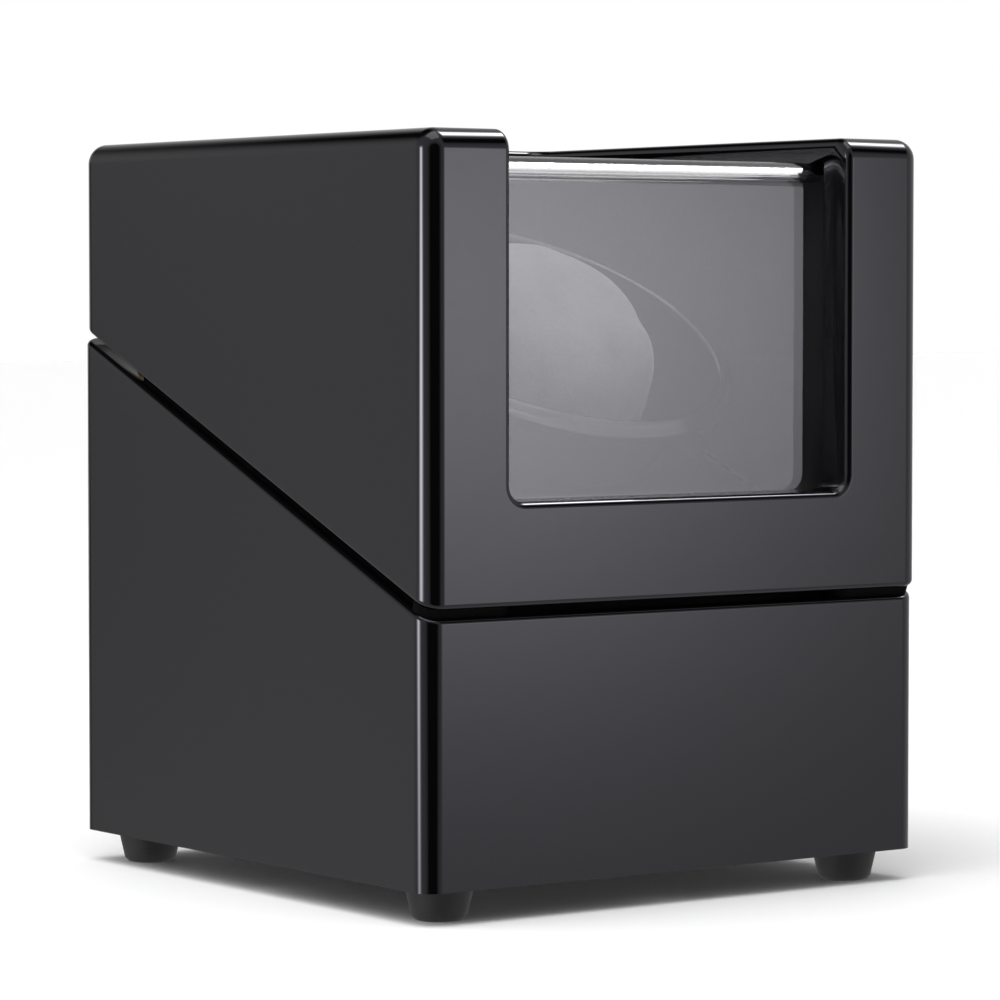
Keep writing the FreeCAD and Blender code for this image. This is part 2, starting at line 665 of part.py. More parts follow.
def cup_rim():
    inner = CUP_RADIUS - CUP_WALL
    step = RIM_HEIGHT / 4
    ring = turned([
        (inner, CUP_TOP),
        (RIM_RADIUS, CUP_TOP),
        (RIM_RADIUS, CUP_TOP + 2 * step),
        (RIM_RADIUS - 0.6 * step, CUP_TOP + 2.6 * step),
        (RIM_RADIUS - 1.4 * step, CUP_TOP + 2.6 * step),
        (RIM_RADIUS - 1.4 * step, CUP_TOP + 3.4 * step),
        (RIM_RADIUS - 2.0 * step, RIM_TOP),
        (inner + 0.6 * step, RIM_TOP),
        (inner, RIM_TOP - 0.6 * step),
    ])
    return on_deck(ring)


def cup_screw():
    screw = pan_screw(HUB_RADIUS, 0).mirror(Vector(0, 0, 0), AXIS_Z)
    screw.translate(Vector(0, 0, FLOOR_TOP))
    return on_deck(screw)


def cup_pad():
    pad = rod(CUP_RADIUS - CUP_WALL - PAD_CLEARANCE, FLOOR_TOP, PAD_TOP)
    return on_deck(pad.cut(rod(PAD_HOLE, FLOOR_TOP - 1, PAD_TOP + 1)))


def pillow_section(share):
    # One cross-section of the cushion; share runs from -1 at one end to 1 at the other
    fall = share * share * share * share
    u = share * PILLOW_LENGTH / 2
    half = PILLOW_WIDTH / 2 * (1 - PILLOW_END_TAPER * fall)
    low = PAD_TOP + PILLOW_END_LIFT * fall
    high = PILLOW_TOP - PILLOW_END_DROP * fall - PILLOW_ARCH * share * share
    foot = PILLOW_FOOT
    shoulder = PILLOW_SHOULDER
    edge = high - PILLOW_CROWN
    bend = math.sqrt(0.5)
    waist = half + PILLOW_BULGE

    def arc(a, b, c):
        return Part.Arc(Vector(u, *a), Vector(u, *b), Vector(u, *c)).toShape()

    right_low = (half, low + foot)
    right_high = (half, edge - shoulder)
    left_low = (-half, low + foot)
    left_high = (-half, edge - shoulder)
    flat = half - foot
    top = half - shoulder
    middle = (low + foot + edge - shoulder) / 2
    edges = [
        Part.makeLine(Vector(u, -flat, low), Vector(u, flat, low)),
        arc((flat, low), (flat + foot * bend, low + foot - foot * bend), right_low),
        arc(right_low, (waist, middle), right_high),
        arc(right_high, (top + shoulder * bend, edge - shoulder + shoulder * bend), (top, edge)),
        arc((top, edge), (0, high), (-top, edge)),
        arc((-top, edge), (-top - shoulder * bend, edge - shoulder + shoulder * bend), left_high),
        arc(left_high, (-waist, middle), left_low),
        arc(left_low, (-flat - foot * bend, low + foot - foot * bend), (-flat, low)),
    ]
    return Part.Wire(edges)


def watch_pillow():
    sections = [pillow_section(share / 4) for share in range(-4, 5)]
    return on_deck(Part.makeLoft(sections, True, False))


def spindle():
    shaft = rod(SPINDLE_RADIUS, SPINDLE_END, CUP_LIFT)
    tapped = rod(SCREW_RADIUS, FLOOR_TOP - HUB_RADIUS, CUP_LIFT + 1)
    groove = rod(SPINDLE_RADIUS + 1, CLIP_TOP - CLIP_THICKNESS, CLIP_TOP)
    groove = groove.cut(rod(SPINDLE_RADIUS - CLIP_DEPTH, SPINDLE_END - 1, CUP_LIFT))
    return on_deck(shaft.cut(tapped).cut(groove))


def spindle_clip():
    clip = rod(CLIP_RADIUS, CLIP_TOP - CLIP_THICKNESS, CLIP_TOP)
    clip = clip.cut(rod(SPINDLE_RADIUS - CLIP_DEPTH, SPINDLE_END, CLIP_TOP + 1))
    gap = SPINDLE_RADIUS - CLIP_DEPTH
    return on_deck(clip.cut(box(-gap, gap, -2 * CLIP_RADIUS, 0, SPINDLE_END, CLIP_TOP + 1)))


def thrust_washer():
    low = CHASSIS_TOP + BUSH_FLANGE + END_PLAY
    return on_deck(turned([
        (SPINDLE_RADIUS + 2 * END_PLAY, low),
        (BUSH_FLANGE_RADIUS - 1, low),
        (BUSH_FLANGE_RADIUS - 1, low + WASHER_THICKNESS),
        (SPINDLE_RADIUS + 2 * END_PLAY, low + WASHER_THICKNESS),
    ]))


def bush(seat, away):
    # Flanged bush whose flange lies on the housing end at height seat, away from the housing
    hole = SPINDLE_RADIUS + RUNNING_FIT
    return on_deck(turned([
        (hole, seat - away * BUSH_LENGTH),
        (BUSH_RADIUS, seat - away * BUSH_LENGTH),
        (BUSH_RADIUS, seat),
        (BUSH_FLANGE_RADIUS, seat),
        (BUSH_FLANGE_RADIUS, seat + away * BUSH_FLANGE),
        (hole, seat + away * BUSH_FLANGE),
    ]))


def bearing_housing():
    under = CHASSIS_UNDER - HOUSING_FLANGE_THICKNESS
    body = turned([
        (BUSH_RADIUS, HOUSING_END),
        (HOUSING_RADIUS, HOUSING_END),
        (HOUSING_RADIUS, under),
        (HOUSING_FLANGE, under),
        (HOUSING_FLANGE, CHASSIS_UNDER),
        (HOUSING_RADIUS, CHASSIS_UNDER),
        (HOUSING_RADIUS, CHASSIS_TOP),
        (BUSH_RADIUS, CHASSIS_TOP),
    ])
    return on_deck(body).cut(housing_screws())


def housing_screws():
    screw = pan_screw(HOUSING_FLANGE_THICKNESS + CHASSIS_THICKNESS, 0)
    screw.translate(Vector(0, 0, CHASSIS_UNDER - HOUSING_FLANGE_THICKNESS))
    return Part.makeCompound([on_deck(s) for s in copies(screw, HOUSING_SCREW_PLACES)])


def chassis_plate():
    reach = STANDOFF_RADIUS + CHASSIS_MARGIN
    plate = box(STANDOFF_LEFT - reach, STANDOFF_RIGHT + reach,
                -STANDOFF_V - reach, STANDOFF_V + reach, CHASSIS_UNDER, CHASSIS_TOP)
    plate = plate.makeFillet(CHASSIS_MARGIN, along(plate, AXIS_Z))
    plate = plate.cut(rod(HOUSING_RADIUS, CHASSIS_UNDER - 1, CHASSIS_TOP + 1))
    plate = plate.cut(rod(GEARBOX_BOSS, CHASSIS_UNDER - 1, CHASSIS_TOP + 1, MOTOR_U))
    plate = on_deck(plate).cut(housing_screws())
    return plate.cut(chassis_screws()).cut(motor_screws())


def chassis_standoffs():
    posts = []
    for u, v, w in STANDOFF_PLACES:
        post = rod(STANDOFF_RADIUS, CHASSIS_TOP, DECK_UNDER, u, v)
        post = post.fuse(rod(SCREW_RADIUS, DECK_UNDER, DECK_UNDER + STANDOFF_STUD, u, v))
        posts.append(on_deck(post).cut(chassis_screws()))
    return Part.makeCompound(posts)


def chassis_screws():
    screw = pan_screw(CHASSIS_THICKNESS + STANDOFF_LENGTH / 2, 0)
    screw.translate(Vector(0, 0, CHASSIS_UNDER))
    return Part.makeCompound([on_deck(s) for s in copies(screw, STANDOFF_PLACES)])


def pulley(pitch, width, bore):
    groove = BELT_RADIUS + BELT_CLEARANCE
    rim = pitch + FLANGE_DEPTH
    root = pitch - groove
    half = width / 2
    lip = groove + FLANGE_FLARE
    return turned([
        (bore, -half),
        (rim, -half),
        (rim, -lip),
        (root, -groove * 0.75),
        (root, groove * 0.75),
        (rim, lip),
        (rim, half),
        (bore, half),
    ])


def drum_pulley():
    wheel = pulley(DRUM_PITCH, PULLEY_WIDTH, SPINDLE_RADIUS)
    ring = (HUB_RADIUS + DRUM_PITCH - BELT_RADIUS - BELT_CLEARANCE) / 2
    hole = (DRUM_PITCH - BELT_RADIUS - BELT_CLEARANCE - HUB_RADIUS) / 2 - PULLEY_WEB
    for step in range(PULLEY_HOLES):
        angle = math.tau * step / PULLEY_HOLES
        wheel = wheel.cut(rod(hole, -PULLEY_WIDTH, PULLEY_WIDTH, ring * math.cos(angle), ring * math.sin(angle)))
    wheel.translate(Vector(0, 0, BELT_LEVEL))
    return on_deck(wheel)


def motor_pulley():
    wheel = pulley(MOTOR_PITCH, MOTOR_PULLEY_WIDTH, MOTOR_SHAFT_RADIUS)
    wheel.translate(Vector(MOTOR_U, 0, BELT_LEVEL))
    return on_deck(wheel)


def drive_belt():
    lean = math.acos((DRUM_PITCH - MOTOR_PITCH) / MOTOR_U)
    cosine = math.cos(lean)
    sine = math.sin(lean)

    def spot(centre, radius, side):
        return Vector(centre + radius * cosine, side * radius * sine, BELT_LEVEL)

    upper = Part.makeLine(spot(MOTOR_U, MOTOR_PITCH, 1), spot(0, DRUM_PITCH, 1))
    far = Part.Arc(spot(0, DRUM_PITCH, 1), Vector(-DRUM_PITCH, 0, BELT_LEVEL), spot(0, DRUM_PITCH, -1)).toShape()
    lower = Part.makeLine(spot(0, DRUM_PITCH, -1), spot(MOTOR_U, MOTOR_PITCH, -1))
    near = Part.Arc(spot(MOTOR_U, MOTOR_PITCH, -1), Vector(MOTOR_U + MOTOR_PITCH, 0, BELT_LEVEL),
                    spot(MOTOR_U, MOTOR_PITCH, 1)).toShape()
    start = spot(MOTOR_U, MOTOR_PITCH, 1)
    heading = spot(0, DRUM_PITCH, 1) - start
    ring = Part.Wire(Part.makeCircle(BELT_RADIUS, start, heading))
    path = Part.Wire([upper, far, lower, near])
    return on_deck(path.makePipeShell([ring], True, False))


def motor_shaft():
    low = CHASSIS_UNDER - GEARBOX_LENGTH / 2
    high = BELT_LEVEL + MOTOR_PULLEY_WIDTH / 2
    return on_deck(rod(MOTOR_SHAFT_RADIUS, low, high, MOTOR_U))


def gearbox_case():
    low = CHASSIS_UNDER - GEARBOX_LENGTH / 2
    body = rod(GEARBOX_RADIUS, GEARBOX_END, CHASSIS_UNDER, MOTOR_U)
    body = body.fuse(rod(GEARBOX_BOSS, CHASSIS_UNDER, CHASSIS_TOP, MOTOR_U))
    body = body.cut(rod(MOTOR_SHAFT_RADIUS + RUNNING_FIT, low - END_PLAY, CHASSIS_TOP + 1, MOTOR_U))
    return on_deck(body).cut(motor_screws())


def motor_can():
    can = rod(CAN_RADIUS, CAN_END, GEARBOX_END, MOTOR_U)
    low = [e for e in can.Edges if abs(e.CenterOfMass.z - CAN_END) < 1e-6]
    return on_deck(can.makeFillet(CAN_EDGE_RADIUS, low))


def motor_end_cap():
    cap = rod(CAN_RADIUS - CAP_STEP, CAP_END, CAN_END, MOTOR_U)
    for s in (-1, 1):
        v = s * CAN_RADIUS / 2
        wide = TERMINAL_WIDTH / 2
        thick = TERMINAL_THICKNESS / 2
        cap = cap.fuse(box(MOTOR_U - wide, MOTOR_U + wide, v - thick, v + thick, MOTOR_END, CAP_END))
    return on_deck(cap)


def motor_screws():
    screw = pan_screw(CHASSIS_THICKNESS + GEARBOX_LENGTH / 3, 0).mirror(Vector(0, 0, 0), AXIS_Z)
    screw.translate(Vector(0, 0, CHASSIS_TOP))
    return Part.makeCompound([on_deck(s) for s in copies(screw, MOTOR_SCREW_PLACES)])


def control_plate():
    plate = rounded_plate(PLATE_WIDTH, PLATE_HEIGHT, RECESS_CORNER, CONTROL_FACE, WALL_INSIDE, CONTROL_X, CONTROL_Z)
    plate = plate.cut(rod_y(SWITCH_BUSH, CONTROL_FACE - 1, WALL_INSIDE + 1, SWITCH_X, CONTROL_Z))
    plate = plate.cut(rod_y(SOCKET_BARREL, CONTROL_FACE - 1, WALL_INSIDE + 1, SOCKET_X, CONTROL_Z))
    plate = plate.cut(rod_y(LAMP_RADIUS, CONTROL_FACE - 1, WALL_INSIDE + 1, CONTROL_X, LAMP_Z))
    return plate.cut(control_plate_screws()).cut(board_screws())


def control_plate_screws():
    screws = []
    for x, z in PLATE_SCREWS:
        screws.append(turned_y(pan_screw(CONTROL_THICKNESS + WALL / 2, 0), x, CONTROL_FACE, z, 1))
    return Part.makeCompound(screws)


def control_board():
    board = box(CONTROL_X - BOARD_WIDTH / 2, CONTROL_X + BOARD_WIDTH / 2, BOARD_BACK, BOARD_FACE,
                CONTROL_Z - BOARD_HEIGHT / 2, CONTROL_Z + BOARD_HEIGHT / 2)
    return board.cut(board_screws())


def board_screws():
    length = BOARD_THICKNESS + BOARD_GAP + CONTROL_THICKNESS / 2
    screws = [turned_y(pan_screw(length, 0), x, BOARD_BACK, z, 1) for x, z in SPACERS]
    return Part.makeCompound(screws)


def board_spacers():
    tubes = [rod_y(SCREW_HEAD_RADIUS, BOARD_FACE, CONTROL_FACE, x, z) for x, z in SPACERS]
    return Part.makeCompound([t.cut(board_screws()) for t in tubes])


def board_components():
    back = BOARD_BACK
    x = CONTROL_X
    z = CONTROL_Z
    half = CHIP_WIDTH / 2
    plug_z = z - BOARD_HEIGHT / 2 + PLUG_EDGE
    chip = box(x - CHIP_LENGTH / 2, x + CHIP_LENGTH / 2, back - CHIP_HEIGHT, back, z - half, z + half)
    driver_x = x - COMPONENT_STEP
    driver = box(driver_x - half, driver_x + half, back - CHIP_HEIGHT, back, z - half, z + half)
    smoothing = rod_y(CAPACITOR_RADIUS, back - CAPACITOR_HEIGHT, back, x + COMPONENT_STEP, z)
    plug = box(x - PLUG_WIDTH / 2, x + PLUG_WIDTH / 2, back - PLUG_HEIGHT, back, plug_z, plug_z + PLUG_HEIGHT)
    return Part.makeCompound([chip, driver, smoothing, plug])


def mode_switch():
    half = SWITCH_SIZE / 2
    body = box(SWITCH_X - half, SWITCH_X + half, BOARD_FACE, BOARD_FACE + SWITCH_DEPTH,
               CONTROL_Z - half, CONTROL_Z + half)
    body = body.fuse(rod_y(SWITCH_BUSH, BOARD_FACE + SWITCH_DEPTH, WALL_INSIDE, SWITCH_X, CONTROL_Z))
    return body.cut(rod_y(SWITCH_SHAFT + RUNNING_FIT, BOARD_FACE + 1, WALL_INSIDE + 1, SWITCH_X, CONTROL_Z))


def mode_knob():
    near = WALL_INSIDE + KNOB_GAP
    far = near + KNOB_LENGTH
    knob = rod_y(KNOB_RADIUS, near, far, SWITCH_X, CONTROL_Z)
    face = [e for e in knob.Edges if abs(e.CenterOfMass.y - far) < 1e-6]
    knob = knob.makeFillet(KNOB_EDGE_RADIUS, face)
    circle = KNOB_RADIUS + KNOB_FLUTE_RADIUS / 2
    for step in range(1, KNOB_FLUTES):
        angle = math.tau * (0.25 + step / KNOB_FLUTES)
        x = SWITCH_X + circle * math.cos(angle)
        z = CONTROL_Z + circle * math.sin(angle)
        knob = knob.cut(rod_y(KNOB_FLUTE_RADIUS, near - 1, far + 1, x, z))
    half = KNOB_LINE_WIDTH / 2
    low = CONTROL_Z + KNOB_LINE_START
    line = box(SWITCH_X - half, SWITCH_X + half, far - KNOB_LINE_DEPTH, far + 1, low, CONTROL_Z + KNOB_RADIUS + 1)
    knob = knob.cut(line)
    return knob.fuse(rod_y(SWITCH_SHAFT, BOARD_FACE + 1 + END_PLAY, near, SWITCH_X, CONTROL_Z))


def dc_socket():
    half = SOCKET_SIZE / 2
    body = box(SOCKET_X - half, SOCKET_X + half, BOARD_FACE, CONTROL_FACE, CONTROL_Z - half, CONTROL_Z + half)
    body = body.fuse(rod_y(SOCKET_BARREL, CONTROL_FACE, WALL_INSIDE, SOCKET_X, CONTROL_Z))
    return body.cut(rod_y(SOCKET_BORE, BOARD_FACE + 1, WALL_INSIDE + 1, SOCKET_X, CONTROL_Z))


def dc_socket_pin():
    return rod_y(SOCKET_PIN, BOARD_FACE + 1, WALL_INSIDE - 1, SOCKET_X, CONTROL_Z)


def status_lamp():
    lamp = rod_y(LAMP_RADIUS, BOARD_FACE, WALL_INSIDE + LAMP_RADIUS / 2, CONTROL_X, LAMP_Z)
    dome = [e for e in lamp.Edges if abs(e.CenterOfMass.y - WALL_INSIDE - LAMP_RADIUS / 2) < 1e-6]
    return lamp.makeFillet(LAMP_DOME_RADIUS, dome)


PIECES = {
    "base_case": base_case(),
    "bottom_board": bottom_board(),
    "bottom_screws": bottom_screws(),
    "rubber_feet": rubber_feet(),
    "foot_screws": foot_screws(),
    "lid_case": lid_case(),
    "window_pane": window_pane(),
    "lid_side_linings": lid_side_linings(),
    "lid_rear_lining": lid_rear_lining(),
    "lid_bumpers": lid_bumpers(),
    "hinge_leaves_base": hinge_leaves(-1),
    "hinge_leaves_lid": hinge_leaves(1),
    "hinge_pins": hinge_pins(),
    "hinge_screws_base": hinge_screws(-1),
    "hinge_screws_lid": hinge_screws(1),
    "deck_board": deck_board(),
    "deck_lining": deck_lining(),
    "deck_cleats": deck_cleats(),
    "deck_screws": deck_screws(),
    "seam_lip": seam_lip(),
    "drum_cup": drum_cup(),
    "cup_rim": cup_rim(),
    "cup_screw": cup_screw(),
    "cup_pad": cup_pad(),
    "watch_pillow": watch_pillow(),
    "spindle": spindle(),
    "spindle_clip": spindle_clip(),
    "thrust_washer": thrust_washer(),
    "upper_bush": bush(CHASSIS_TOP, 1),
    "lower_bush": bush(HOUSING_END, -1),
    "bearing_housing": bearing_housing(),
    "housing_screws": housing_screws(),
    "chassis_plate": chassis_plate(),
    "chassis_standoffs": chassis_standoffs(),
    "chassis_screws": chassis_screws(),
    "drum_pulley": drum_pulley(),
    "drive_belt": drive_belt(),
    "motor_pulley": motor_pulley(),
    "motor_shaft": motor_shaft(),
    "gearbox_case": gearbox_case(),
    "motor_can": motor_can(),
    "motor_end_cap": motor_end_cap(),
    "motor_screws": motor_screws(),
    "control_plate": control_plate(),
    "control_plate_screws": control_plate_screws(),
    "control_board": control_board(),
    "board_screws": board_screws(),
    "board_spacers": board_spacers(),
    "board_components": board_components(),
    "mode_switch": mode_switch(),
    "mode_knob": mode_knob(),
    "dc_socket": dc_socket(),
    "dc_socket_pin": dc_socket_pin(),
    "status_lamp": status_lamp(),
}

os.makedirs("parts", exist_ok=True)
for name, shape in PIECES.items():
    shape.exportStep("parts/" + name + ".step")
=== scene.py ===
import json
import math

import bmesh
import bpy
from mathutils import Matrix, Vector
from mathutils.kdtree import KDTree


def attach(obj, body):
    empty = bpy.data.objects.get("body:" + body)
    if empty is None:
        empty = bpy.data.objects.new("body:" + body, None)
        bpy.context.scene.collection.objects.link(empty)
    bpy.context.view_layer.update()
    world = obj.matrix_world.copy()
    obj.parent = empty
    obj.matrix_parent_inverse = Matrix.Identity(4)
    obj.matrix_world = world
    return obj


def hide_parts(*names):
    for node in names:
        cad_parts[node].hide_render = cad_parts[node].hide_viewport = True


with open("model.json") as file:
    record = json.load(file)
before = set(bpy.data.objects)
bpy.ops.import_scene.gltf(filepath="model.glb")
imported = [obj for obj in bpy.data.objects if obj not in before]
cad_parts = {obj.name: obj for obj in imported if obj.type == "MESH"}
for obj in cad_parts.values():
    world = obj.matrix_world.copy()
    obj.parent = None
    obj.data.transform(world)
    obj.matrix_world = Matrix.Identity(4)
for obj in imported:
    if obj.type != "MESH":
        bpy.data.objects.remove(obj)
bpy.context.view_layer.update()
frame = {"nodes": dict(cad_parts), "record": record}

# Base case
# Lower box of fibreboard panels, mitred and glued, then sprayed and polished in black piano lacquer.
# Everything else is screwed or glued into it.
MM_PER_METRE = 1000.0
PATTERN_SPAN = (0.3, 0.7)
MERGE_DISTANCE = 1e-6
SLIVER = 1e-7
ROUNDED_BELOW = 32.0
FACE_WEIGHT = 80


def linear(hex_colour):
    channels = [int(hex_colour[i:i + 2], 16) / 255 for i in (1, 3, 5)]
    return [c / 12.92 if c <= 0.04045 else ((c + 0.055) / 1.055) ** 2.4 for c in channels] + [1.0]


def add(tree, kind, links=None, values=None, **settings):
    """Adds one node: settings are its properties, values its socket values, links what feeds them."""
    node = tree.nodes.new(kind)
    for key, value in settings.items():
        setattr(node, key, value)
    for key, value in (values or {}).items():
        node.inputs[key].default_value = value
    for key, source in (links or {}).items():
        tree.links.new(source, node.inputs[key])
    return node


def finish_named(name, colour, **sockets):
    """A new finish: its tree, its shader and Object coordinates in millimetres."""
    material = bpy.data.materials.new(name)
    material.use_nodes = True
    tree = material.node_tree
    shader = tree.nodes["Principled BSDF"]
    shader.inputs["Base Color"].default_value = linear(colour)
    for key, value in sockets.items():
        shader.inputs[key.replace("_", " ")].default_value = value
    place = add(tree, "ShaderNodeTexCoord")
    grid = add(tree, "ShaderNodeVectorMath", {0: place.outputs["Object"]}, {"Scale": MM_PER_METRE},
               operation="SCALE")
    return material, tree, shader, grid.outputs[0]


def vary(tree, shader, pattern, tones=None, gloss=None, relief=None):
    """Lets a pattern vary a finish: between two tones or two roughnesses, or by a relief in millimetres."""
    if tones:
        ramp = add(tree, "ShaderNodeValToRGB", {"Fac": pattern})
        for stop, place, tone in zip(ramp.color_ramp.elements, PATTERN_SPAN, tones):
            stop.position = place
            stop.color = linear(tone)
        tree.links.new(ramp.outputs["Color"], shader.inputs["Base Color"])
    if gloss:
        span = add(tree, "ShaderNodeMapRange", {"Value": pattern},
                   {"From Min": PATTERN_SPAN[0], "From Max": PATTERN_SPAN[1],
                    "To Min": gloss[0], "To Max": gloss[1]})
        tree.links.new(span.outputs["Result"], shader.inputs["Roughness"])
    if relief:
        bump = add(tree, "ShaderNodeBump", {"Height": pattern},
                   {"Distance": relief / MM_PER_METRE, "Strength": 1.0})
        tree.links.new(bump.outputs["Normal"], shader.inputs["Normal"])


def body_of(node):
    return next(b for b, members in frame["record"]["behaviour"]["bodies"].items() if node in members)


def stand_for(piece, node):
    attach(piece, body_of(node))
    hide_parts(node)


def new_piece(name, mesh, material):
    piece = bpy.data.objects.new(name, mesh)
    bpy.context.scene.collection.objects.link(piece)
    mesh.materials.clear()
    mesh.materials.append(material)
    return piece


def polished(node, material, sharp=ROUNDED_BELOW):
    """The node's solid with its triangles joined and its rounded edges shaded as one smooth skin."""
    mesh = frame["nodes"][node].data.copy()
    mesh.name = node + "_skin"
    skin = bmesh.new()
    skin.from_mesh(mesh)
    bmesh.ops.remove_doubles(skin, verts=skin.verts, dist=MERGE_DISTANCE)
    bmesh.ops.dissolve_degenerate(skin, edges=skin.edges, dist=SLIVER)
    skin.to_mesh(mesh)
    skin.free()
    mesh.shade_smooth()
    mesh.set_sharp_from_angle(angle=math.radians(sharp))
    piece = new_piece(node + "_skin", mesh, material)
    normals = piece.modifiers.new("weighted", "WEIGHTED_NORMAL")
    normals.keep_sharp = True
    normals.weight = FACE_WEIGHT
    stand_for(piece, node)


# Polyester piano lacquer: near-black and mirror bright, with the faint ripple of a sprayed and buffed coat
# and hairline swirls that only show as a change of gloss. The swirls are drawn wider than real ones.
RIPPLE = 9.0
SWIRL = 2.5
LACQUER_SHINE = "#F2F0FC"
lacquer, tree, shader, mm = finish_named("piano_lacquer", "#060607", Roughness=0.04, IOR=1.5,
                                         Specular_Tint=linear(LACQUER_SHINE))
ripple = add(tree, "ShaderNodeTexNoise", {"Vector": mm}, {"Scale": 1.0 / RIPPLE, "Detail": 1.0})
vary(tree, shader, ripple.outputs["Fac"], relief=0.004)
swirl = add(tree, "ShaderNodeTexNoise", {"Vector": mm}, {"Scale": 1.0 / SWIRL, "Detail": 4.0})
vary(tree, shader, swirl.outputs["Fac"], gloss=(0.03, 0.07))
polished("base_case", lacquer)

# Bottom board
# Fibreboard panel let into the underside of the case and held by countersunk wood screws into the walls.
# It is rolled with matt black paint, which leaves a fine orange peel.
ORANGE_PEEL = 1.1


def dress(material, *nodes):
    for node in nodes:
        frame["nodes"][node].data.materials.clear()
        frame["nodes"][node].data.materials.append(material)


painted, tree, shader, mm = finish_named("painted_board", "#141414", Roughness=0.7)
peel = add(tree, "ShaderNodeTexNoise", {"Vector": mm}, {"Scale": 1.0 / ORANGE_PEEL, "Detail": 3.0})
vary(tree, shader, peel.outputs["Fac"], tones=("#101010", "#191919"), gloss=(0.6, 0.8), relief=0.04)
dress(painted, "bottom_board")

# Deck board and cleats
# Raw fibreboard, sawn to size: dull brown with flecks of fibre and a slight fuzz.
# The cleats are glued to the side walls and carry the deck on four screws.
FIBRE_FLECK = 0.8
fibreboard, tree, shader, mm = finish_named("raw_fibreboard", "#8C6D4C", Roughness=0.85)
fibre = add(tree, "ShaderNodeTexNoise", {"Vector": mm}, {"Scale": 1.0 / FIBRE_FLECK, "Detail": 6.0})
vary(tree, shader, fibre.outputs["Fac"], tones=("#7C5D3E", "#9C7D5A"), relief=0.05)
dress(fibreboard, "deck_board", "deck_cleats")

# Screws
# Steel wood and machine screws with a cross recess, driven into the pieces that they hold.
# Zinc plated steel: pale and slightly milky, with soft drag marks from barrel plating.
DRAG_MARK = 0.6
HEAD_SIDES = 40
SHANK_SIDES = 24
RECESS_REACH = 1.25
RECESS_DEPTH = 1.3
RECESS_WIDTH = 0.3
PAN_CROWN = 0.86
FLAT_WITHIN = 1.0
HEAD_CREASE = 30.0
HEAD_AREA_SHARE = 0.95
HEAD_EDGE_MARGIN = 1.01
PAN_SEAT_SHARE = 0.99
HEAD_FACE_DEPTH = 1e-5
zinc, tree, shader, mm = finish_named("zinc_plated_steel", "#C9CAC6", Metallic=1.0, Roughness=0.3)
plating = add(tree, "ShaderNodeTexNoise", {"Vector": mm}, {"Scale": 1.0 / DRAG_MARK, "Detail": 4.0})
vary(tree, shader, plating.outputs["Fac"], tones=("#B9BAB5", "#D3D4D0"), gloss=(0.22, 0.42))


